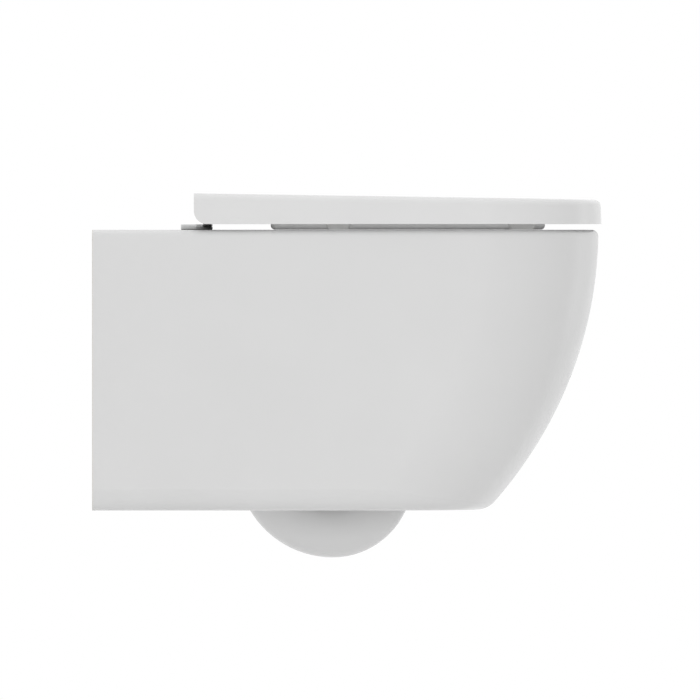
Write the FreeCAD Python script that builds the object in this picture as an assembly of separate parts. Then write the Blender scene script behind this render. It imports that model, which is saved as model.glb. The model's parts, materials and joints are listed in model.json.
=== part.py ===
"""Wall hung toilet: vitreous china pan with trap, wall fixings, seat, lid and lift-off hinges.

Frame: X across, wall plane at Y = 0 with the object in front of it (negative Y), Z up. The origin lies
on the wall plane, midway between the two wall fixing holes. Places are given as x (across), d (distance
in front of the wall) and h (height above the rim).

The pan is slip-cast as a shell, a bowl, a trap and a back, which are joined before firing.
"""
import FreeCAD, Part
import math
import os

os.makedirs("parts", exist_ok=True)
V = FreeCAD.Vector

# ------------------------------------------------------------------ driving dimensions, millimetres
# Places on the wall
rim_above_fixings = 80.0
fixing_spacing = 180.0
inlet_above_fixings = 35.0
outlet_below_fixings = 100.0

# Pan shell
pan_depth = 540.0            # wall to front of the rim
pan_width = 360.0
pan_height = 298.8           # rim to underside of the skirt
pan_corner_r = 125.0         # plan corner between side and front
pan_front_r = 270.0          # plan radius of the front
front_curve_run = 484.0      # half axes of the ellipse that the front follows in side view
front_curve_drop = 456.0
side_lean = 9.0              # how far each side stands in at the underside
rim_edge_r = 7.0
bottom_edge_r = 24.0
skirt_wall = 11.0
deck_thickness = 14.0
bottom_flange = 46.0         # width of the turned-in edge around the open underside
skirt_sections = 7           # plan outlines from rim to underside

# Bowl
bowl_rear_d = 187.0          # wall to the rear edge of the mouth
rim_front_land = 55.0        # front of the rim to the mouth
rim_side_land = 49.0
bowl_widest = 0.446          # place of the mouth's widest point along its length, from the rear
bowl_fullness = 1.2          # how long the sides stay steep before they close in to the sump
bowl_wall = 12.5
bowl_edge_r = 5.0
bowl_sections = 7            # outlines from mouth to sump

# Trap: passage from the sump, round the bend, over the weir and out at the wall
trap_bore_r = 32.0
trap_wall = 10.7
trap_low_d = 256.0           # lowest point of the bend
trap_drop = 350.4            # rim to lowest point of the trap, outside
front_bend_r = 42.8          # centre line radii of the two quarters of the bend
rear_bend_r = 60.4
weir_bend_r = 60.0
spigot_r = 51.0
spigot_bore_r = 42.0
spigot_length = 62.0
spigot_recess = 4.0          # end of the spigot to the wall plane
rib_thickness = 12.0
rib_gap = 8.0                # spigot's shoulder to the rib above the outlet

# Back of the pan
back_plate_thickness = 22.0
back_plate_drop = 112.0      # rim to lower edge of the plate that takes the wall fixings
inlet_r = 27.5
inlet_socket_wall = 8.5
inlet_socket_length = 45.0
channel_r = 22.0
channel_wall = 12.0
fixing_hole_r = 10.3
insert_wall = 2.6
insert_length = 26.0
insert_face = 2.5
insert_clearance = 0.3
insert_slot_width = 5.0
insert_slot_pitch = 10.5

# Wall fixings
sleeve_clearance = 0.3
sleeve_bore_r = 6.3
sleeve_flange_r = 17.0
sleeve_flange_thickness = 3.0
fixing_washer_r = 15.0
fixing_washer_thickness = 2.5
fixing_nut_flats = 19.0
fixing_nut_height = 10.0

# Seat fixings and hinge bases
seat_fixing_spacing = 155.0
screw_d = 103.5
disc_d = 110.5
disc_r = 16.7
disc_top = 5.7               # above the rim
disc_edge_r = 0.8
gasket_thickness = 0.8
gasket_inset = 0.5
deck_hole_r = 7.0
anchor_clearance = 0.3
screw_r = 3.0
screw_clearance = 0.3
screw_head_r = 5.4
screw_head_height = 3.0
screw_head_sink = 0.7
screw_below_nut = 5.0
screw_socket_flats = 4.0
screw_socket_depth = 2.0
anchor_washer_r = 12.0
anchor_washer_thickness = 1.6
anchor_nut_flats = 10.0
anchor_nut_height = 6.0

# Hinge
axis_d = 122.2
axis_h = 20.0
post_width = 19.0
post_barrel_r = 12.8
post_flat = 11.2             # axis to the flat at the back of the barrel
post_foot_length = 9.4
post_lift = 0.2              # foot above the disc
stud_r = 4.0
stud_height = 8.0
stud_chamfer = 0.8
stud_clearance = 0.06
stud_end_gap = 0.4
pin_r = 4.0
pin_clearance = 0.05
knuckle_r = 8.6
knuckle_gap = 1.8            # between post and each knuckle
knuckle_width = 32.0
bush_length = 15.0
bush_wall = 1.6
damper_shaft_r = 2.2
damper_shaft_length = 2.0
damper_gap = 0.3
button_r = 4.4
button_clearance = 0.25
button_edge_r = 0.5
button_length = 5.0
button_proud = 2.2
button_travel = 1.6

# Lid
lid_overhang = 3.3           # beyond the rim at the front and sides
lid_bottom = 6.1             # lower edge above the rim
lid_rear_d = 108.3
lid_rear_top = 38.8          # top above the rim, at the back and at the front
lid_front_top = 32.2
lid_draft = 0.042            # how fast the sides stand in with height
lid_wall = 3.4
lid_top_r = 7.5
lid_inner_r = 4.0
lid_hinge_round = 13.9       # rear lower corner, about the hinge axis
notch_half_width = 19.0
notch_clearance = 10.3       # hinge axis to the edge of the notch
lid_web_half = 7.0

# Seat
seat_gap = 1.8               # to the inside of the lid
seat_top = 24.0
seat_bottom = 7.0
seat_rear_gap = 3.0          # seat ring to the hinge barrel
seat_hole_inset = 9.5        # hole inside the edge of the bowl
seat_outer_r = 5.0
seat_inner_r = 7.0
seat_under_r = 2.0
step_clear = 0.3             # lower step of the seat, above the rim
step_side = 16.0             # rim's side edge to the step
step_end = 3.0               # front and rear of the bowl's mouth to the step
step_corner_r = 8.0
step_edge_r = 4.4

# Buffers: the front pairs follow the corner of the pan, the rear pairs stand behind the bowl's middle
front_buffer_angle = 60.6    # from straight ahead, about the centre of the pan's corner
buffer_proud = 1.2           # outer side of the seat's buffers beyond the side of its step
rear_buffer_back = 58.0
buffer_lengths = (36.0, 30.0)      # front and rear
buffer_widths = (14.0, 12.0)
lid_buffer_angle = 54.5
lid_front_buffer_inset = 42.7
lid_rear_buffer_inset = 30.0
lid_rear_buffer_back = 105.0
lid_buffer_length = 22.0
lid_buffer_width = 9.0
buffer_slope = 4.0           # taper of each end over the height of a buffer
buffer_clear = 0.2
buffer_corner_r = 3.0

past = 1.0                   # how far a cutting tool runs beyond the face that it cuts

# ------------------------------------------------------------------ derived places
hw = pan_width / 2.0
fix_h = -rim_above_fixings
inlet_h = inlet_above_fixings + fix_h
outlet_h = -outlet_below_fixings + fix_h
fix_x = fixing_spacing / 2.0
hinge_x = seat_fixing_spacing / 2.0
bowl_length = pan_depth - rim_front_land - bowl_rear_d
bowl_rear = bowl_length * bowl_widest
bowl_front = bowl_length - bowl_rear
bowl_centre = bowl_rear_d + bowl_rear
bowl_half_width = hw - rim_side_land
trap_outer_r = trap_bore_r + trap_wall
front_bend_h = -(trap_drop - trap_outer_r - front_bend_r)
rear_bend_h = -(trap_drop - trap_outer_r - rear_bend_r)
sump_d = trap_low_d + front_bend_r
rise_d = trap_low_d - rear_bend_r
weir_h = outlet_h - weir_bend_r
weir_d = rise_d - weir_bend_r
pin_inner = hinge_x - post_width / 2.0 - knuckle_gap
pin_outer = hinge_x + post_width / 2.0 + knuckle_gap
bush_r = pin_r + bush_wall
lid_slope = (lid_rear_top - lid_front_top) / (pan_depth - lid_rear_d)
seat_rear_d = axis_d + post_barrel_r + seat_rear_gap
SIDES = (("left", -1), ("right", 1))


# ------------------------------------------------------------------ shape helpers
def at(x, d, h):
    """Point across x, d in front of the wall and h above the rim."""
    return V(x, -d, h + rim_above_fixings)


def block(x0, x1, d0, d1, h0, h1):
    corner = at(min(x0, x1), max(d0, d1), min(h0, h1))
    return Part.makeBox(abs(x1 - x0), abs(d1 - d0), abs(h1 - h0), corner)


def rod(start, direction, radius, length):
    return Part.makeCylinder(radius, length, start, direction)


def upright(x, d, h0, h1, radius):
    return rod(at(x, d, h0), V(0, 0, 1), radius, h1 - h0)


def forward(x, h, d0, d1, radius):
    """Rod square to the wall, from d0 to d1."""
    return rod(at(x, d0, h), V(0, -1, 0), radius, d1 - d0)


def across(x0, x1, d, h, radius):
    return rod(at(min(x0, x1), d, h), V(1, 0, 0), radius, abs(x1 - x0))


def hexagon(centre, direction, flats, height):
    """Six-sided prism with the given distance across its flats."""
    corner_r = flats / math.sqrt(3)
    turns = [math.radians(60 * i) for i in range(7)]
    outline = Part.makePolygon([V(corner_r * math.cos(t), corner_r * math.sin(t), 0) for t in turns])
    solid = Part.Face(outline).extrude(V(0, 0, height))
    solid.Placement = FreeCAD.Placement(centre, FreeCAD.Rotation(V(0, 0, 1), direction))
    return solid


def fuse(shapes):
    return shapes[0].multiFuse(shapes[1:]).removeSplitter()


def corner_layout(half, corner_r, front_r, tip):
    """Distance of the centres of the corner and front arcs, and the turn at which the arcs meet."""
    front_c = tip - front_r
    corner_c = front_c + math.sqrt((front_r - corner_r) ** 2 - (half - corner_r) ** 2)
    return corner_c, front_c, math.atan2(half - corner_r, corner_c - front_c)


def plan_wire(half, corner_r, front_r, tip, back, h):
    """Plan outline: square back, straight sides, corner arcs and a flatter front arc, all tangent."""
    corner_c, front_c, turn = corner_layout(half, corner_r, front_r, tip)

    def arc(cx, cd, r, a0, a1):
        points = [at(cx + r * math.sin(a), cd + r * math.cos(a), h) for a in (a0, (a0 + a1) / 2, a1)]
        return Part.Arc(*points).toShape()

    def line(xa, da, xb, db):
        return Part.LineSegment(at(xa, da, h), at(xb, db, h)).toShape()

    quarter = math.pi / 2
    return Part.Wire([
        line(half, back, half, corner_c),
        arc(half - corner_r, corner_c, corner_r, quarter, turn),
        arc(0, front_c, front_r, turn, -turn),
        arc(corner_r - half, corner_c, corner_r, -turn, -quarter),
        line(-half, corner_c, -half, back),
        line(-half, back, half, back),
    ])


def egg_wire(centre, rear, front, half, h):
    """Closed outline of two half ellipses that share the same half width."""
    edges = []
    for x0, reach in ((1, front), (-1, -rear)):
        arc = Part.Arc(V(x0, 0, 0), V(0, -1 if reach > 0 else 1, 0), V(-x0, 0, 0)).toShape()
        scale = FreeCAD.Matrix()
        scale.scale(V(half, abs(reach), 1))
        arc = arc.transformGeometry(scale)
        arc.translate(at(0, centre, h))
        edges.append(arc)
    return Part.Wire(edges)


def loft(wires, ruled=False):
    return Part.makeLoft(wires, True, ruled)


def edges_at(shape, test):
    """Edges whose inner sampled points all pass the test(x, d, h)."""
    found = []
    for edge in shape.Edges:
        if edge.Degenerated:
            continue
        points = edge.discretize(7)[1:-1]
        if all(test(p.x, -p.y, p.z - rim_above_fixings) for p in points):
            found.append(edge)
    return found


def near(a, b, tolerance=0.05):
    return abs(a - b) < tolerance


def bend(centre_d, centre_h, major, minor, start, stop):
    """Part of a ring about an axis across the object; angles from straight ahead (0) to up (90)."""
    a = math.radians(start)
    centre = at(0, centre_d, centre_h)
    radial = V(0, -math.cos(a), math.sin(a))
    circle = Part.makeCircle(minor, centre + radial * major, radial.cross(V(1, 0, 0)))
    return Part.Face(Part.Wire([circle])).revolve(centre, V(-1, 0, 0), stop - start)


# ------------------------------------------------------------------ pan
def front_at(drop):
    """Distance of the front of the pan from the wall, at a drop below the rim."""
    return pan_depth - front_curve_run * (1 - math.sqrt(1 - (drop / front_curve_drop) ** 2))


def skirt_form(inset, top, bottom, back, top_r, bottom_r):
    """The pan's outer form set in by inset, between two drops below the rim, its edges rounded."""
    wires = []
    for i in range(skirt_sections):
        drop = top + (bottom - top) * i / (skirt_sections - 1)
        slope = (front_at(drop) - front_at(drop + past)) / past
        lean = side_lean * (drop / pan_height) ** 2
        wires.append(plan_wire(hw - lean - inset, pan_corner_r - inset, pan_front_r - inset,
                               front_at(drop) - inset * math.hypot(1, slope), back, -drop))
    form = loft(wires)
    for drop, radius in ((bottom, bottom_r), (top, top_r)):
        if radius:
            rounded = edges_at(form, lambda x, d, h: near(h, -drop) and d > back + past)
            form = form.makeFillet(radius, rounded)
    right_half = form.common(block(0, pan_width, back - past, 2 * pan_depth, -bottom - past, past - top))
    return fuse([right_half, right_half.mirror(V(0, 0, 0), V(1, 0, 0))])


def inner_form():
    """Inside of the skirt under the deck, rounded along its lower edge like the outside."""
    return skirt_form(skirt_wall, deck_thickness, pan_height - skirt_wall, -skirt_wall, 0,
                      bottom_edge_r - skirt_wall)


def bowl_form(wall):
    """Inside of the bowl grown by wall, from its mouth at the rim to the sump."""
    wires = []
    for i in range(bowl_sections):
        t = i / (bowl_sections - 1)
        share = (1 - t ** 2) ** bowl_fullness

        def size(mouth):
            return trap_bore_r + (mouth - trap_bore_r) * share + wall

        wires.append(egg_wire(bowl_centre + (sump_d - bowl_centre) * t ** 2, size(bowl_rear),
                              size(bowl_front), size(bowl_half_width), front_bend_h * t))
    return loft(wires)


def mouth_share(x, d):
    """Distance from the bowl's centre, as a share of the distance to the edge of its mouth."""
    reach = bowl_front if d > bowl_centre else bowl_rear
    return math.hypot(x / bowl_half_width, (d - bowl_centre) / reach)


def trap_run(radius):
    """Solids of one radius along the trap's centre line, from the sump to the start of the spigot."""
    return [
        bend(trap_low_d, front_bend_h, front_bend_r, radius, -90, 0),
        bend(trap_low_d, rear_bend_h, rear_bend_r, radius, -180, -90),
        upright(0, rise_d, rear_bend_h, weir_h, radius),
        bend(weir_d, weir_h, weir_bend_r, radius, 0, 90),
        forward(0, outlet_h, spigot_length, weir_d, radius),
    ]


def channel(radius, end_d):
    """Flush water's way from the inlet socket towards the bowl."""
    return forward(0, inlet_h, inlet_socket_length - past, end_d, radius)


def pan_shell():
    """Outer skirt, open at the wall and underneath, with the deck that carries the seat."""
    half = hw - side_lean - bottom_flange
    underside = plan_wire(half, pan_corner_r - bottom_flange, pan_front_r - bottom_flange,
                          front_at(pan_height) - bottom_flange, -skirt_wall, -pan_height - past)
    shell = skirt_form(0, 0, pan_height, 0, rim_edge_r, bottom_edge_r).cut(inner_form())
    shell = shell.cut(Part.Face(underside).extrude(V(0, 0, 2 * bottom_edge_r))).cut(bowl_form(bowl_wall))
    for _, side in SIDES:
        shell = shell.cut(upright(side * hinge_x, screw_d, -deck_thickness - past, past, deck_hole_r))
    return shell


def pan_bowl():
    bowl = bowl_form(bowl_wall).cut(bowl_form(0)).cut(channel(channel_r, bowl_centre))
    return bowl.makeFillet(bowl_edge_r, edges_at(bowl, lambda x, d, h: near(h, 0)
                                                 and near(mouth_share(x, d), 1)))


def pan_trap():
    """Water trap with the outlet spigot and the rib that holds it under the flush channel."""
    shoulder = spigot_length + trap_wall
    spigot = forward(0, outlet_h, spigot_recess, shoulder, spigot_r)
    rib = block(-rib_thickness / 2, rib_thickness / 2, shoulder + rib_gap, weir_d + trap_bore_r,
                inlet_h - channel_r, outlet_h + trap_bore_r + trap_wall / 2)
    trap = fuse([spigot, rib] + trap_run(trap_outer_r))
    for bore in trap_run(trap_bore_r) + [forward(0, outlet_h, 0, spigot_length, spigot_bore_r),
                                         channel(channel_r + channel_wall, bowl_centre),
                                         bowl_form(bowl_wall)]:
        trap = trap.cut(bore)
    return trap


def pan_back():
    """Plate that takes the wall fixings, with the flush inlet socket and the channel to the bowl."""
    plate = block(-hw, hw, 0, back_plate_thickness, -deck_thickness, -back_plate_drop).common(inner_form())
    boss = forward(0, inlet_h, 0, inlet_socket_length + inlet_socket_wall, inlet_r + inlet_socket_wall)
    deck = block(-hw, hw, -past, pan_depth, -deck_thickness, past)
    back = fuse([plate, boss, channel(channel_r + channel_wall, bowl_centre)]).cut(deck)
    for bore in [forward(0, inlet_h, -past, inlet_socket_length, inlet_r), bowl_form(bowl_wall),
                 channel(channel_r, bowl_centre)]:
        back = back.cut(bore)
    for _, side in SIDES:
        back = back.cut(forward(side * fix_x, fix_h, -past, back_plate_thickness + past, fixing_hole_r))
    return back


def flush_insert():
    """Perforated plug at the mouth of the flush channel."""
    outer_r = channel_r - insert_clearance
    face_d = bowl_rear_d - channel_wall / 2
    plug = forward(0, inlet_h, face_d - insert_length, face_d, outer_r)
    plug = plug.cut(forward(0, inlet_h, face_d - insert_length - past, face_d - insert_face,
                            outer_r - insert_wall))
    for i in range(-1, 2):
        x = i * insert_slot_pitch
        height = math.sqrt((outer_r - 2 * insert_wall) ** 2 - x ** 2)
        plug = plug.cut(block(x - insert_slot_width / 2, x + insert_slot_width / 2,
                              face_d - 2 * insert_face, face_d + past, inlet_h - height, inlet_h + height))
    return plug


# ------------------------------------------------------------------ fixings
def wall_fixing_sleeve(x):
    body = forward(x, fix_h, 0, back_plate_thickness, fixing_hole_r - sleeve_clearance)
    end = back_plate_thickness + sleeve_flange_thickness
    flange = forward(x, fix_h, back_plate_thickness, end, sleeve_flange_r)
    return fuse([body, flange]).cut(forward(x, fix_h, -past, end + past, sleeve_bore_r))


def wall_fixing_washer(x):
    start = back_plate_thickness + sleeve_flange_thickness
    end = start + fixing_washer_thickness
    return forward(x, fix_h, start, end, fixing_washer_r).cut(
        forward(x, fix_h, start - past, end + past, sleeve_bore_r))


def wall_fixing_nut(x):
    start = back_plate_thickness + sleeve_flange_thickness + fixing_washer_thickness
    nut = hexagon(at(x, start, fix_h), V(0, -1, 0), fixing_nut_flats, fixing_nut_height)
    return nut.cut(forward(x, fix_h, start - past, start + fixing_nut_height + past, sleeve_bore_r))


def base_gasket(x):
    disc = upright(x, disc_d, 0, gasket_thickness, disc_r - gasket_inset)
    return disc.cut(upright(x, screw_d, -past, gasket_thickness + past, screw_r + screw_clearance))


def hinge_base(x):
    """Chrome disc with a sunk screw seat and the stud that carries the hinge post."""
    disc = upright(x, disc_d, gasket_thickness, disc_top, disc_r)
    disc = disc.makeFillet(disc_edge_r, edges_at(disc, lambda ex, d, h: near(h, disc_top)))
    stud_top = disc_top + stud_height
    stud = upright(x, axis_d, disc_top - past, stud_top, stud_r)
    stud = stud.makeChamfer(stud_chamfer, edges_at(stud, lambda ex, d, h: near(h, stud_top)))
    head_seat = disc_top - screw_head_sink - screw_head_height
    base = fuse([disc, stud]).cut(upright(x, screw_d, 0, disc_top + past, screw_r + screw_clearance))
    return base.cut(upright(x, screw_d, head_seat, disc_top + past, screw_head_r + screw_clearance))


def fixing_screw(x):
    head_top = disc_top - screw_head_sink
    tip = -deck_thickness - anchor_washer_thickness - anchor_nut_height - screw_below_nut
    head = upright(x, screw_d, head_top - screw_head_height, head_top, screw_head_r)
    shaft = upright(x, screw_d, tip, head_top - screw_head_height, screw_r)
    socket = hexagon(at(x, screw_d, head_top - screw_socket_depth), V(0, 0, 1), screw_socket_flats,
                     screw_socket_depth + past)
    return fuse([head, shaft]).cut(socket)


def anchor_sleeve(x):
    body = upright(x, screw_d, -deck_thickness, 0, deck_hole_r - anchor_clearance)
    return body.cut(upright(x, screw_d, -deck_thickness - past, past, screw_r + screw_clearance))


def anchor_washer(x):
    low = -deck_thickness - anchor_washer_thickness
    return upright(x, screw_d, low, -deck_thickness, anchor_washer_r).cut(
        upright(x, screw_d, low - past, past, screw_r + screw_clearance))


def anchor_nut(x):
    low = -deck_thickness - anchor_washer_thickness - anchor_nut_height
    nut = hexagon(at(x, screw_d, low), V(0, 0, 1), anchor_nut_flats, anchor_nut_height)
    return nut.cut(upright(x, screw_d, low - past, past, screw_r + pin_clearance))


# ------------------------------------------------------------------ hinge
def hinge_post(x):
    """Barrel on a short foot that slips over the stud; a pocket at the back takes the button."""
    x0, x1 = x - post_width / 2, x + post_width / 2
    foot_half = post_foot_length / 2
    barrel = across(x0, x1, axis_d, axis_h, post_barrel_r)
    foot = block(x - foot_half, x + foot_half, axis_d - foot_half, axis_d + foot_half,
                 disc_top + post_lift, axis_h)
    post = fuse([barrel, foot])
    pocket_end = axis_d - post_flat - button_proud + button_length + button_travel + button_clearance
    for cut in (block(x0 - past, x1 + past, axis_d - 2 * post_barrel_r, axis_d - post_flat, 0, 2 * axis_h),
                across(x0 - past, x1 + past, axis_d, axis_h, pin_r + pin_clearance),
                upright(x, axis_d, 0, disc_top + stud_height + stud_end_gap, stud_r + stud_clearance),
                forward(x, axis_h, axis_d - 2 * post_flat, pocket_end, button_r + button_clearance)):
        post = post.cut(cut)
    return post


def hinge_pin(side):
    inner = pin_inner - bush_length
    outer = pin_outer + bush_length
    return across(side * inner, side * outer, axis_d, axis_h, pin_r)


def release_button(x):
    start = axis_d - post_flat - button_proud
    button = forward(x, axis_h, start, start + button_length, button_r)
    return button.makeFillet(button_edge_r, edges_at(button, lambda ex, d, h: near(d, start)))


def knuckle_span(inner_side):
    """x range of a knuckle beside the post: the seat's on the inner side, the lid's on the outer."""
    if inner_side:
        return pin_inner - knuckle_width, pin_inner
    return pin_outer, pin_outer + knuckle_width


def knuckle_bore(side, inner_side):
    x0, x1 = knuckle_span(inner_side)
    return across(side * (x0 - past), side * (x1 + past), axis_d, axis_h, bush_r + pin_clearance)


def bush(side, inner_side):
    x0, x1 = knuckle_span(inner_side)
    x0, x1 = (x1 - bush_length, x1) if inner_side else (x0, x0 + bush_length)
    ring = across(side * x0, side * x1, axis_d, axis_h, bush_r)
    return ring.cut(across(side * (x0 - past), side * (x1 + past), axis_d, axis_h, pin_r + pin_clearance))


def damper(side, inner_side):
    """Soft-close cartridge in the far half of a knuckle, its shaft facing the end of the pin."""
    x0, x1 = knuckle_span(inner_side)
    if inner_side:
        pin_end, far, step = x1 - bush_length, x0, -1
    else:
        pin_end, far, step = x0 + bush_length, x1, 1
    start = pin_end + step * damper_gap
    body_start = start + step * damper_shaft_length
    return fuse([across(side * start, side * body_start, axis_d, axis_h, damper_shaft_r),
                 across(side * body_start, side * far, axis_d, axis_h, bush_r)])


# ------------------------------------------------------------------ lid
def under_lid_top(drop, reach):
    """Solid that fills everything above the lid's top plane lowered by drop."""
    rear = lid_rear_top - drop + lid_slope * (lid_rear_d + reach)
    front = lid_rear_top - drop - lid_slope * reach
    high = 3 * lid_rear_top
    points = [(-reach, rear), (lid_rear_d + reach, front), (lid_rear_d + reach, high), (-reach, high)]
    wire = Part.makePolygon([at(-reach, d, h) for d, h in points + points[:1]])
    return Part.Face(wire).extrude(V(2 * reach, 0, 0))


def lid_form(inset, bottom, edge_r):
    """Outer form of the lid set in by inset, its top edge rounded by edge_r."""
    wires = []
    for h in (bottom, lid_rear_top + lid_wall):
        grow = lid_overhang - inset - lid_draft * (h - lid_bottom)
        wires.append(plan_wire(hw + grow, pan_corner_r + grow, pan_front_r + grow, pan_depth + grow,
                               lid_rear_d + inset, h))
    form = loft(wires, ruled=True).cut(under_lid_top(inset, 2 * pan_depth))

    def on_top(x, d, h):
        return near(h, lid_rear_top - inset - lid_slope * (d - lid_rear_d)) and (
            d > lid_rear_d + inset + past or abs(x) > hw - 2 * lid_wall)

    return form.makeFillet(edge_r, edges_at(form, on_top))


def seat_lid():
    shell = lid_form(0, lid_bottom, lid_top_r).cut(lid_form(lid_wall, 0, lid_inner_r))
    # rear wall ends level with the hinge axis, and the side walls are rounded about that axis
    inner_x = hw + lid_overhang - lid_wall
    shell = shell.cut(block(-inner_x, inner_x, lid_rear_d - past, axis_d, 0, axis_h))
    corner = block(-2 * hw, 2 * hw, lid_rear_d - past, axis_d, 0, axis_h)
    shell = shell.cut(corner.cut(across(-2 * hw, 2 * hw, axis_d, axis_h, lid_hinge_round)))
    x0, x1 = knuckle_span(False)
    for _, side in SIDES:
        x = side * hinge_x
        shell = shell.cut(block(x - notch_half_width, x + notch_half_width, lid_rear_d - past,
                                axis_d - notch_clearance, 0, 2 * lid_rear_top))
        web = block(side * x0, side * x1, axis_d - lid_web_half, axis_d + lid_web_half, axis_h, lid_rear_top)
        web = web.cut(under_lid_top(lid_wall / 2, 2 * pan_depth))
        shell = fuse([shell, web, across(side * x0, side * x1, axis_d, axis_h, knuckle_r)])
        shell = shell.cut(knuckle_bore(side, False))
    return shell


# ------------------------------------------------------------------ seat
def seat_step():
    """Lower part of the seat, close to the rim beside the bowl's mouth."""
    rear, front = bowl_rear_d + step_end, bowl_rear_d + bowl_length - step_end
    outline = plan_wire(hw - step_side, pan_corner_r - step_side, pan_front_r - step_side,
                        pan_depth - step_side, rear, step_clear)
    step = Part.Face(outline).extrude(V(0, 0, seat_top / 2))
    step = step.cut(block(-hw, hw, front, pan_depth, 0, seat_top))
    step = step.makeFillet(step_corner_r, edges_at(step, lambda x, d, h: past < h < seat_top / 2 - past
                                                   and (near(d, rear) or near(d, front))))
    return step.makeFillet(step_edge_r, edges_at(step, lambda x, d, h: near(h, step_clear)))


def seat_ring():
    grow = lid_overhang - lid_wall - seat_gap
    outline = plan_wire(hw + grow, pan_corner_r + grow, pan_front_r + grow, pan_depth + grow, seat_rear_d,
                        seat_bottom)
    ring = Part.Face(outline).extrude(V(0, 0, seat_top - seat_bottom))
    ring = ring.makeFillet(seat_outer_r, edges_at(ring, lambda x, d, h: near(h, seat_top)))
    ring = ring.makeFillet(seat_under_r, edges_at(ring, lambda x, d, h: near(h, seat_bottom)))
    hole = egg_wire(bowl_centre, bowl_rear - seat_hole_inset, bowl_front - seat_hole_inset,
                    bowl_half_width - seat_hole_inset, -past)
    ring = fuse([ring, seat_step()]).cut(Part.Face(hole).extrude(V(0, 0, 2 * seat_top)))
    ring = ring.makeFillet(seat_inner_r, edges_at(ring, lambda x, d, h: near(h, seat_top)
                                                  and mouth_share(x, d) < 1))
    x0, x1 = knuckle_span(True)
    for _, side in SIDES:
        web = block(side * x0, side * x1, axis_d, seat_rear_d + seat_outer_r, axis_h - knuckle_r, seat_top)
        ring = fuse([ring, web, across(side * x0, side * x1, axis_d, axis_h, knuckle_r)])
        ring = ring.cut(knuckle_bore(side, True))
        for buffer in seat_buffers(side).values():
            ring = ring.cut(buffer)
    return ring


# ------------------------------------------------------------------ buffers
def at_corner(angle, inset):
    """Plan place and turn of a buffer that follows the pan's front corner, set in from the rim's edge."""
    corner_c = corner_layout(hw, pan_corner_r, pan_front_r, pan_depth)[0]
    a = math.radians(angle)
    reach = pan_corner_r - inset
    return hw - pan_corner_r + reach * math.sin(a), corner_c + reach * math.cos(a), 90 - angle


def at_side(inset, back):
    return hw - inset, bowl_centre - back, 0


def pad_wire(side, place, length, width, h):
    """Rounded rectangle turned in plan, its length running forward before the turn."""
    x, d, turn = place
    r = buffer_corner_r
    a, b = length / 2 - r, width / 2 - r
    middle = r * math.sqrt(0.5)
    t = math.radians(side * turn)

    def point(ahead, beside):
        return at(side * x + beside * math.cos(t) - ahead * math.sin(t),
                  d + ahead * math.cos(t) + beside * math.sin(t), h)

    arcs = []
    for sa, sb in ((1, 1), (-1, 1), (-1, -1), (1, -1)):
        ends = [(sa * (a + r), sb * b), (sa * a, sb * (b + r))]
        if sa != sb:
            ends.reverse()
        arcs.append([point(*ends[0]), point(sa * (a + middle), sb * (b + middle)), point(*ends[1])])
    edges = []
    for arc, following in zip(arcs, arcs[1:] + arcs[:1]):
        edges.append(Part.Arc(*arc).toShape())
        edges.append(Part.LineSegment(arc[2], following[0]).toShape())
    return Part.Wire(edges)


def seat_buffers(side):
    """Front and rear buffer of one side, let into the seat's step and just proud of it."""
    made = {}
    for end, length, width in zip(("front", "rear"), buffer_lengths, buffer_widths):
        inset = step_side - buffer_proud + width / 2
        place = at_corner(front_buffer_angle, inset) if end == "front" else at_side(inset, rear_buffer_back)
        top = pad_wire(side, place, length, width, seat_bottom)
        low = pad_wire(side, place, length - 2 * buffer_slope, width, buffer_clear)
        made[end] = loft([low, top], ruled=True)
    return made


def lid_buffer(side, place):
    low = pad_wire(side, place, lid_buffer_length, lid_buffer_width, seat_top + buffer_clear)
    return Part.Face(low).extrude(V(0, 0, lid_rear_top)).cut(under_lid_top(lid_wall, 2 * pan_depth))


# ------------------------------------------------------------------ all pieces
def pieces():
    made = {"pan_shell": pan_shell(), "pan_bowl": pan_bowl(), "pan_trap": pan_trap(),
            "pan_back": pan_back(), "flush_insert": flush_insert(), "seat_ring": seat_ring(),
            "seat_lid": seat_lid()}
    at_wall = (wall_fixing_sleeve, wall_fixing_washer, wall_fixing_nut)
    at_hinge = (base_gasket, hinge_base, fixing_screw, anchor_sleeve, anchor_washer, anchor_nut,
                hinge_post, release_button)
    for name, side in SIDES:
        for makers, x in ((at_wall, fix_x), (at_hinge, hinge_x)):
            for make in makers:
                made[f"{make.__name__}_{name}"] = make(side * x)
        made[f"hinge_pin_{name}"] = hinge_pin(side)
        for owner, inner_side in (("seat", True), ("lid", False)):
            made[f"{owner}_bush_{name}"] = bush(side, inner_side)
            made[f"{owner}_damper_{name}"] = damper(side, inner_side)
        for end, buffer in seat_buffers(side).items():
            made[f"seat_buffer_{end}_{name}"] = buffer
        made[f"lid_buffer_front_{name}"] = lid_buffer(side, at_corner(lid_buffer_angle,
                                                                      lid_front_buffer_inset))
        made[f"lid_buffer_rear_{name}"] = lid_buffer(side, at_side(lid_rear_buffer_inset,
                                                                   lid_rear_buffer_back))
    return made


if __name__ == "__main__":
    for name, shape in pieces().items():
        print(name, shape.isValid(), len(shape.Solids), round(shape.Volume))
        shape.exportStep(f"parts/{name}.step")
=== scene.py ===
import json
import math

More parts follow.
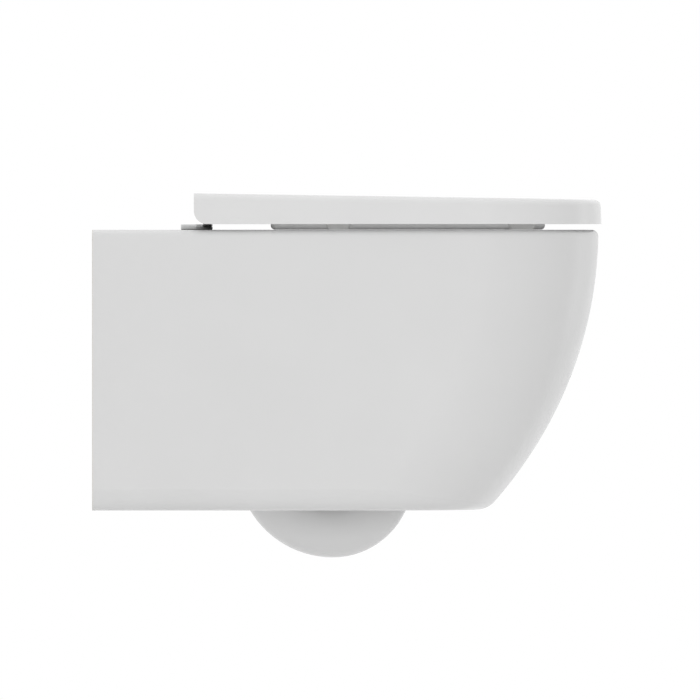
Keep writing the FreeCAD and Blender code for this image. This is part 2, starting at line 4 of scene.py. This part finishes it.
import bmesh
import bpy
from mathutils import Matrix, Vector


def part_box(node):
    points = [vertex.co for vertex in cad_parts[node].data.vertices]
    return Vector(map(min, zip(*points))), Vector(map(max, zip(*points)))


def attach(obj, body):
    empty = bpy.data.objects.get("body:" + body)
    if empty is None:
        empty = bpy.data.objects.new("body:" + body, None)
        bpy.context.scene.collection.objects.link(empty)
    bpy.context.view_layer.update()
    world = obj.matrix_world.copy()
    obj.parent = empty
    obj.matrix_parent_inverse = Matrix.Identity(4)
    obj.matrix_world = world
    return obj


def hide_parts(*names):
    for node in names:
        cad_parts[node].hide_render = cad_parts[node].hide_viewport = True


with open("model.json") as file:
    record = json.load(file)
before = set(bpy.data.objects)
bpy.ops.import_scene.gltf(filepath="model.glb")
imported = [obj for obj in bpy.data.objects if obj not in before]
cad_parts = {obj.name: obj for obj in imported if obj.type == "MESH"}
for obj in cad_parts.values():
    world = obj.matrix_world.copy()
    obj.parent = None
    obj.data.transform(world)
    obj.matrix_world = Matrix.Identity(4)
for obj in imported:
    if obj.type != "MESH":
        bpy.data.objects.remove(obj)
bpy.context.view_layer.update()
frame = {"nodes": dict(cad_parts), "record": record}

nodes = frame["nodes"]
scene = bpy.context.scene

# All lengths are in metres. The wall plane is y = 0, and the front of the toilet faces -y.
RIM_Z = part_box("pan_shell")[1].z          # top of the rim
FRONT_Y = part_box("pan_shell")[0].y        # front of the pan
LOW_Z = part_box("pan_trap")[0].z           # underside of the trap
SIDES = ("left", "right")
SLOTS = {row["node"]: row["material_slot"] for row in frame["record"]["subparts"]}
BODIES = {node: body for body, members in frame["record"]["behaviour"]["bodies"].items()
          for node in members}


# ------------------------------------------------------------------ shader nodes
COLOUR_A, COLOUR_B, COLOUR_OUT = 6, 7, 2  # sockets that a Mix node uses for colours


def join(tree, operation, first, second):
    """Math node over two values."""
    node = tree.nodes.new("ShaderNodeMath")
    node.operation = operation
    tree.links.new(first, node.inputs[0])
    tree.links.new(second, node.inputs[1])
    return node.outputs["Value"]


def blend(tree, factor, first, second):
    """Mix of two whole shaders by factor."""
    node = tree.nodes.new("ShaderNodeMixShader")
    tree.links.new(factor, node.inputs["Fac"])
    tree.links.new(first, node.inputs[1])
    tree.links.new(second, node.inputs[2])
    return node.outputs["Shader"]


def seen_rays(tree):
    """1 for rays that come straight from the camera, a reflection or a transmission."""
    path = tree.nodes.new("ShaderNodeLightPath").outputs
    camera_or_glossy = join(tree, "MAXIMUM", path["Is Camera Ray"], path["Is Glossy Ray"])
    return join(tree, "MAXIMUM", camera_or_glossy, path["Is Transmission Ray"])


class Shader:
    """A node material with one Principled shader and short calls for the nodes that feed it."""

    def __init__(self, name, **values):
        self.material = bpy.data.materials.new(name)
        self.material.use_nodes = True
        self.tree = self.material.node_tree
        self.bsdf = self.tree.nodes["Principled BSDF"]
        self.coords = self.tree.nodes.new("ShaderNodeTexCoord").outputs["Object"]
        for socket, value in values.items():
            self.bsdf.inputs[socket.replace("_", " ")].default_value = value

    def link(self, source, target):
        self.tree.links.new(source, target)

    def noise(self, scale, detail, stretch=None):
        node = self.tree.nodes.new("ShaderNodeTexNoise")
        node.inputs["Scale"].default_value = scale
        node.inputs["Detail"].default_value = detail
        source = self.coords
        if stretch:
            mapping = self.tree.nodes.new("ShaderNodeMapping")
            mapping.inputs["Scale"].default_value = stretch
            self.link(source, mapping.inputs["Vector"])
            source = mapping.outputs["Vector"]
        self.link(source, node.inputs["Vector"])
        return node.outputs["Fac"]

    def ramp(self, source, colour_low, colour_high, low=0.3, high=0.7):
        """Colour that goes from one to the other while the source goes from low to high."""
        node = self.tree.nodes.new("ShaderNodeValToRGB")
        first, last = node.color_ramp.elements
        first.position, last.position = low, high
        first.color, last.color = (*colour_low, 1), (*colour_high, 1)
        self.link(source, node.inputs["Fac"])
        return node.outputs["Color"]

    def spread(self, source, to_low, to_high, low=0.3, high=0.7):
        """Value that goes from to_low to to_high while the source goes from low to high, clamped."""
        node = self.tree.nodes.new("ShaderNodeMapRange")
        for name, value in (("From Min", low), ("From Max", high),
                            ("To Min", to_low), ("To Max", to_high)):
            node.inputs[name].default_value = value
        self.link(source, node.inputs["Value"])
        return node.outputs["Result"]

    def axis(self, name):
        node = self.tree.nodes.new("ShaderNodeSeparateXYZ")
        self.link(self.coords, node.inputs["Vector"])
        return node.outputs[name]

    def mix(self, factor, first, second):
        """Blend two colours by factor; each is a socket or a plain colour."""
        node = self.tree.nodes.new("ShaderNodeMix")
        node.data_type = "RGBA"
        self.link(factor, node.inputs["Factor"])
        for source, socket in ((first, COLOUR_A), (second, COLOUR_B)):
            if isinstance(source, tuple):
                node.inputs[socket].default_value = (*source, 1)
            else:
                self.link(source, node.inputs[socket])
        return node.outputs[COLOUR_OUT]

    def bump(self, height, strength, distance, below=None):
        node = self.tree.nodes.new("ShaderNodeBump")
        node.inputs["Strength"].default_value = strength
        node.inputs["Distance"].default_value = distance
        self.link(height, node.inputs["Height"])
        if below:
            self.link(below, node.inputs["Normal"])
        return node.outputs["Normal"]

    def dress(self, tone, rough, normal):
        for socket, source in (("Base Color", tone), ("Roughness", rough), ("Normal", normal)):
            self.link(source, self.bsdf.inputs[socket])
        return self.material


# ------------------------------------------------------------------ materials
BARE_EDGE = (-0.0016, -0.0004)            # y over which the glaze gives way to the bare wall face
BARE_ROUGHNESS = (0.7, 0.7, 0.7)


def glazed_china():
    """White glaze over vitreous china: faint pooling of tone, a long soft ripple, bare body at the wall."""
    s = Shader("glazed_china", IOR=1.4)
    tone = s.ramp(s.noise(scale=9.0, detail=3.0), (0.722, 0.722, 0.721), (0.736, 0.736, 0.735))
    bare = s.ramp(s.noise(scale=900.0, detail=4.0), (0.66, 0.645, 0.61), (0.74, 0.73, 0.70))
    at_wall = s.spread(s.axis("Y"), 0.0, 1.0, *BARE_EDGE)
    gloss = s.spread(s.noise(scale=30.0, detail=2.0), 0.20, 0.27)
    ripple = s.bump(s.noise(scale=26.0, detail=1.0), strength=0.04, distance=0.0006)
    grain = s.bump(s.noise(scale=420.0, detail=2.0), strength=0.025, distance=0.00008, below=ripple)
    return s.dress(s.mix(at_wall, tone, bare), s.mix(at_wall, gloss, BARE_ROUGHNESS), grain)


def polished_chrome():
    """Plated metal with faint changes of tone and gloss, and polishing marks drawn out along z."""
    s = Shader("polished_chrome", Metallic=1.0)
    tone = s.ramp(s.noise(scale=60.0, detail=3.0), (0.53, 0.535, 0.535), (0.57, 0.575, 0.575))
    gloss = s.spread(s.noise(scale=180.0, detail=4.0), 0.05, 0.14, low=0.35)
    marks = s.noise(scale=900.0, detail=2.0, stretch=(1.0, 1.0, 0.15))
    return s.dress(tone, gloss, s.bump(marks, strength=0.05, distance=0.00004))


def brushed_steel():
    """Stainless steel whose tone, gloss and relief share the same lines, drawn out along x."""
    s = Shader("brushed_steel", Metallic=1.0)
    lines = s.noise(scale=380.0, detail=4.0, stretch=(0.08, 1.0, 1.0))
    return s.dress(s.ramp(lines, (0.40, 0.40, 0.41), (0.55, 0.55, 0.55)),
                   s.spread(lines, 0.25, 0.42),
                   s.bump(lines, strength=0.12, distance=0.00006))


def moulded(name, tone, gloss, grain, **values):
    """Moulded material whose tone, roughness and relief each vary with a noise of their own.

    tone is noise scale and detail, darkest and lightest colour; gloss is noise scale and detail, lowest
    and highest roughness; grain is noise scale and detail, strength and distance of the bump.
    """
    s = Shader(name, **values)
    return s.dress(s.ramp(s.noise(*tone[:2]), *tone[2:]),
                   s.spread(s.noise(*gloss[:2]), *gloss[2:]),
                   s.bump(s.noise(*grain[:2]), *grain[2:]))


PLASTIC_GRAIN = (1100.0, 3.0, 0.12, 0.00008)   # spark-eroded
MATERIALS = {
    "vitreous_china": glazed_china(),
    # duroplast, a little whiter than the china
    "seat_plastic": moulded("moulded_seat", IOR=1.46,
                            tone=(14.0, 2.0, (0.745, 0.745, 0.744), (0.757, 0.757, 0.756)),
                            gloss=(55.0, 3.0, 0.14, 0.22),
                            grain=(700.0, 3.0, 0.06, 0.00005)),
    "chrome": polished_chrome(),
    "stainless": brushed_steel(),
    # milky elastomer
    "buffer_rubber": moulded("soft_buffer",
                             tone=(120.0, 3.0, (0.66, 0.66, 0.65), (0.74, 0.74, 0.73)),
                             gloss=(260.0, 3.0, 0.38, 0.52),
                             grain=(1200.0, 3.0, 0.10, 0.00006),
                             Subsurface_Weight=0.15, Subsurface_Scale=0.004,
                             Subsurface_Radius=(1.0, 0.95, 0.9)),
    "gasket_rubber": moulded("black_rubber",
                             tone=(300.0, 4.0, (0.018, 0.018, 0.018), (0.035, 0.034, 0.033)),
                             gloss=(500.0, 3.0, 0.55, 0.75),
                             grain=(1500.0, 3.0, 0.2, 0.0001)),
    "white_plastic": moulded("white_plastic",
                             tone=(90.0, 3.0, (0.70, 0.70, 0.69), (0.76, 0.76, 0.75)),
                             gloss=(300.0, 3.0, 0.36, 0.48),
                             grain=PLASTIC_GRAIN),
    "hinge_plastic": moulded("hinge_plastic",
                             tone=(90.0, 3.0, (0.52, 0.52, 0.51), (0.60, 0.60, 0.59)),
                             gloss=(300.0, 3.0, 0.32, 0.44),
                             grain=PLASTIC_GRAIN),
}


def coat(mesh, slot):
    mesh.materials.clear()
    mesh.materials.append(MATERIALS[slot])


for name, node in nodes.items():
    coat(node.data, SLOTS[name])


# ------------------------------------------------------------------ small hardware
SHARP_ANGLE = math.radians(32)
FLAT_ANGLE = math.radians(0.6)            # faces this near to one plane are joined before the bevel
MERGE_DISTANCE = 2e-6
BEVELS = {                                # widths of the broken edges, on the node of each side
    "hinge_base": 0.0002,
    "hinge_post": 0.0005,
    "release_button": 0.0003,
    "wall_fixing_nut": 0.0003,
    "wall_fixing_washer": 0.0003,
    "wall_fixing_sleeve": 0.0004,
    "anchor_nut": 0.0003,
    "anchor_washer": 0.0003,
    "fixing_screw": 0.0003,
}
INSERT_BEVEL = 0.0004

NUT_AXES = {"wall_fixing_nut": "y", "anchor_nut": "z"}
NUT_SLOPE = math.radians(30)              # slope of the cones that take off a nut's corners
NUT_FACE_SHARE = 0.485                    # radius of the flat face inside the cone, by width across flats
NUT_BLANK_SHARE = 0.60                    # radius of the blank, outside the corners, by the same width
NUT_STEPS = 48                            # points round the blank

THREAD_PITCH = 0.001
THREAD_CREST_R = 0.00312
THREAD_ROOT_R = 0.0027
THREAD_STEPS = 36                         # points round one turn
THREAD_ROWS = 8                           # rings along one pitch, and along the fade at each end
THREAD_IN_NUT = 0.001                     # how far above the nut's underside the thread starts


def new_object(name, data):
    piece = bpy.data.objects.new(name, data)
    scene.collection.objects.link(piece)
    return piece


def ring_points(steps):
    """Unit circle, as (cosine, sine) of each step."""
    angles = [2 * math.pi * i / steps for i in range(steps)]
    return [(math.cos(a), math.sin(a)) for a in angles]


def skin(name, rings):
    """Closed mesh over rings of points, with a cap on the first and the last."""
    mesh = bpy.data.meshes.new(name)
    bm = bmesh.new()
    loops = [[bm.verts.new(point) for point in ring] for ring in rings]
    for low, high in zip(loops, loops[1:]):
        for i in range(len(low)):
            j = (i + 1) % len(low)
            bm.faces.new((low[i], low[j], high[j], high[i]))
    bm.faces.new(loops[0])
    bm.faces.new(loops[-1])
    bmesh.ops.recalc_face_normals(bm, faces=bm.faces)
    bm.to_mesh(mesh)
    bm.free()
    return mesh


def nut_blank(name, axis):
    """Turned blank whose two cones chamfer the corners of a hexagon nut."""
    low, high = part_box(name)
    centre = (low + high) / 2
    half = (high.z - low.z if axis == "z" else high.y - low.y) / 2
    flats = min(high.x - low.x, high.z - low.z if axis == "y" else high.y - low.y)
    face_r, blank_r = flats * NUT_FACE_SHARE, flats * NUT_BLANK_SHARE
    slope = (blank_r - face_r) * math.tan(NUT_SLOPE)
    profile = ((face_r, -half), (blank_r, slope - half), (blank_r, half - slope), (face_r, half))
    rings = []
    for radius, along in profile:
        flat = [(radius * u, radius * v) for u, v in ring_points(NUT_STEPS)]
        rings.append([centre + Vector((u, v, along) if axis == "z" else (u, along, v)) for u, v in flat])
    return skin("blank", rings)


def keep_common(piece, tool_mesh):
    """Keep what the piece shares with one tool."""
    tool = new_object("tool", tool_mesh)
    modifier = piece.modifiers.new("cut", "BOOLEAN")
    modifier.operation, modifier.object, modifier.solver = "INTERSECT", tool, "EXACT"
    graph = bpy.context.evaluated_depsgraph_get()
    mesh = bpy.data.meshes.new_from_object(piece.evaluated_get(graph))
    piece.modifiers.clear()
    piece.data = mesh
    bpy.data.objects.remove(tool)


def soften(mesh, width):
    """Break the sharp edges of a mesh by a rounded bevel and shade it smooth between them."""
    bm = bmesh.new()
    bm.from_mesh(mesh)
    bmesh.ops.remove_doubles(bm, verts=bm.verts, dist=MERGE_DISTANCE)
    bmesh.ops.dissolve_limit(bm, angle_limit=FLAT_ANGLE, verts=bm.verts, edges=bm.edges)
    sharp = [edge for edge in bm.edges
             if edge.is_manifold and edge.calc_face_angle(0) > SHARP_ANGLE]
    bmesh.ops.bevel(bm, geom=sharp, offset=width, offset_type="OFFSET", segments=2, profile=0.5,
                    affect="EDGES", clamp_overlap=True)
    bmesh.ops.triangulate(bm, faces=[face for face in bm.faces if len(face.verts) > 4])
    bm.to_mesh(mesh)
    bm.free()
    mesh.shade_smooth()
    mesh.set_sharp_from_angle(angle=SHARP_ANGLE)


def refine(name, width, nut_axis=None):
    """Stand a finer piece in for a CAD node: the same form with its edges broken."""
    piece = new_object(f"{name}.fine", nodes[name].data.copy())
    if nut_axis:
        keep_common(piece, nut_blank(name, nut_axis))
    soften(piece.data, width)
    slot = SLOTS[name]
    coat(piece.data, slot)
    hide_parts(name)
    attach(piece, BODIES[name])


def screw_thread(side):
    """Helical ridge on the free end of a seat screw, from inside its nut down to the tip."""
    low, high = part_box(f"fixing_screw_{side}")
    head_r = (high.x - low.x) / 2
    start = Vector(((low.x + high.x) / 2, low.y + head_r,
                    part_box(f"anchor_nut_{side}")[0].z + THREAD_IN_NUT))
    length = start.z - low.z
    rows = int(length / THREAD_PITCH * THREAD_ROWS)
    rings = []
    for k in range(rows + 1):
        z = -length * k / rows
        fade = min(1.0, k / THREAD_ROWS, (rows - k) / THREAD_ROWS)
        ring = []
        for i, (u, v) in enumerate(ring_points(THREAD_STEPS)):
            turn = (z / THREAD_PITCH + i / THREAD_STEPS) % 1.0
            height = (1 - abs(2 * turn - 1)) * fade
            radius = THREAD_ROOT_R + (THREAD_CREST_R - THREAD_ROOT_R) * height
            ring.append(start + Vector((radius * u, radius * v, z)))
        rings.append(ring)
    mesh = skin(f"screw_thread_{side}", rings)
    mesh.shade_smooth()
    coat(mesh, "stainless")
    piece = new_object(f"screw_thread_{side}", mesh)
    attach(piece, "pan")


for side in SIDES:
    for stem, width in BEVELS.items():
        refine(f"{stem}_{side}", width, NUT_AXES.get(stem))
    screw_thread(side)
refine("flush_insert", INSERT_BEVEL)


# ------------------------------------------------------------------ floor
FLOOR_DROP = 0.33                         # floor below the trap
FLOOR_HALF = 2.6                          # half the floor's side
FADE_START = 0.7                          # distances from the origin over which the floor turns white
FADE_END = 0.95 * FLOOR_HALF


def lay_floor():
    """Pale floor whose far edge fades into the white surround; clear from below, to show the underside."""
    corners = [(-1, -1), (1, -1), (1, 1), (-1, 1)]
    mesh = bpy.data.meshes.new("floor")
    mesh.from_pydata([(x * FLOOR_HALF, y * FLOOR_HALF + FRONT_Y / 2, LOW_Z - FLOOR_DROP)
                      for x, y in corners], [], [(0, 1, 2, 3)])
    floor = new_object("floor", mesh)
    s = Shader("pale_floor", Roughness=0.6)
    tone = s.ramp(s.noise(scale=6.0, detail=3.0), (0.87, 0.87, 0.87), (0.89, 0.89, 0.89))
    s.link(tone, s.bsdf.inputs["Base Color"])
    away = s.tree.nodes.new("ShaderNodeVectorMath")
    away.operation = "LENGTH"
    s.link(s.coords, away.inputs[0])
    edge = s.spread(away.outputs["Value"], 0.0, 1.0, FADE_START, FADE_END)
    fade = join(s.tree, "MULTIPLY", edge, seen_rays(s.tree))
    glow = s.tree.nodes.new("ShaderNodeEmission").outputs["Emission"]
    clear = s.tree.nodes.new("ShaderNodeBsdfTransparent").outputs["BSDF"]
    from_below = s.tree.nodes.new("ShaderNodeNewGeometry").outputs["Backfacing"]
    from_above = blend(s.tree, fade, s.bsdf.outputs["BSDF"], glow)
    s.link(blend(s.tree, from_below, from_above, clear),
           s.tree.nodes["Material Output"].inputs["Surface"])
    mesh.materials.append(s.material)


# ------------------------------------------------------------------ light
WORLD_LIGHT = 0.66
# Each softbox faces the object from its direction. Size is width and height, a radiance of 1 is as
# bright as the white surround, and aim_z is the height of the point it faces.
SIDE_BOX = dict(distance=2.6, size=(2.0, 2.4), radiance=1.22, aim_z=-0.1, mirrored=False)
SOFTBOXES = {
    "side_softbox_left": dict(SIDE_BOX, direction=(-1, 0, 0)),
    "side_softbox_right": dict(SIDE_BOX, direction=(1, 0, 0)),
    "top_softbox": dict(direction=(0, 0, 1), distance=3.0, size=(2.4, 2.4), radiance=1.6,
                        mirrored=False),
    "front_softbox": dict(direction=(0.62, -0.79, 0.05), distance=3.0, size=(1.0, 2.2),
                          radiance=0.25),
}


def light_world():
    """Even soft light from all round; the surround itself, seen straight or in a reflection, is white."""
    world = bpy.data.worlds.new("studio")
    scene.world = world
    world.use_nodes = True
    tree = world.node_tree
    light = tree.nodes["Background"]
    white = tree.nodes.new("ShaderNodeBackground")
    for background, strength in ((light, WORLD_LIGHT), (white, 1.0)):
        background.inputs["Color"].default_value = (1.0, 1.0, 1.0, 1.0)
        background.inputs["Strength"].default_value = strength
    both = blend(tree, seen_rays(tree), light.outputs["Background"], white.outputs["Background"])
    tree.links.new(both, tree.nodes["World Output"].inputs["Surface"])


def add_softbox(name, direction, distance, size, radiance, aim_z=0.0, mirrored=True):
    """Area lamp that the camera never sees, and that shows in reflections only where mirrored."""
    width, height = size
    lamp = bpy.data.lights.new(name, "AREA")
    lamp.shape = "RECTANGLE"
    lamp.size, lamp.size_y = width, height
    lamp.energy = radiance * math.pi * width * height
    target = Vector((0.0, FRONT_Y / 2, aim_z))
    holder = new_object(name, lamp)
    holder.location = target + Vector(direction).normalized() * distance
    holder.rotation_euler = (target - holder.location).to_track_quat("-Z", "Y").to_euler()
    holder.visible_camera = False
    holder.visible_glossy = mirrored


# ------------------------------------------------------------------ camera
LENS_MM = 1500.0
SENSOR_MM = 36.0
CLIP_START = 1.0
# The photograph's size, rim line and wall edge in its pixels, and the real size of one pixel
IMAGE_PX = 700.0
RIM_PX = 229.8
WALL_PX = 93.45
PIXEL_M = 0.0010694


def set_camera():
    """Long lens square to the side of the toilet, placed by the rim line and the wall edge."""
    data = bpy.data.cameras.new("camera")
    data.lens, data.sensor_width = LENS_MM, SENSOR_MM
    distance = IMAGE_PX * PIXEL_M * LENS_MM / SENSOR_MM
    data.clip_start, data.clip_end = CLIP_START, 2 * distance
    aim = Vector((0.0, -(IMAGE_PX / 2 - WALL_PX) * PIXEL_M,
                  RIM_Z - (IMAGE_PX / 2 - RIM_PX) * PIXEL_M))
    camera = new_object("camera", data)
    camera.location = Vector((-distance, aim.y, RIM_Z))
    camera.rotation_euler = (aim - camera.location).to_track_quat("-Z", "Y").to_euler()
    scene.camera = camera


lay_floor()
light_world()
for name, facts in SOFTBOXES.items():
    add_softbox(name, **facts)
set_camera()
scene.view_settings.view_transform = "Standard"
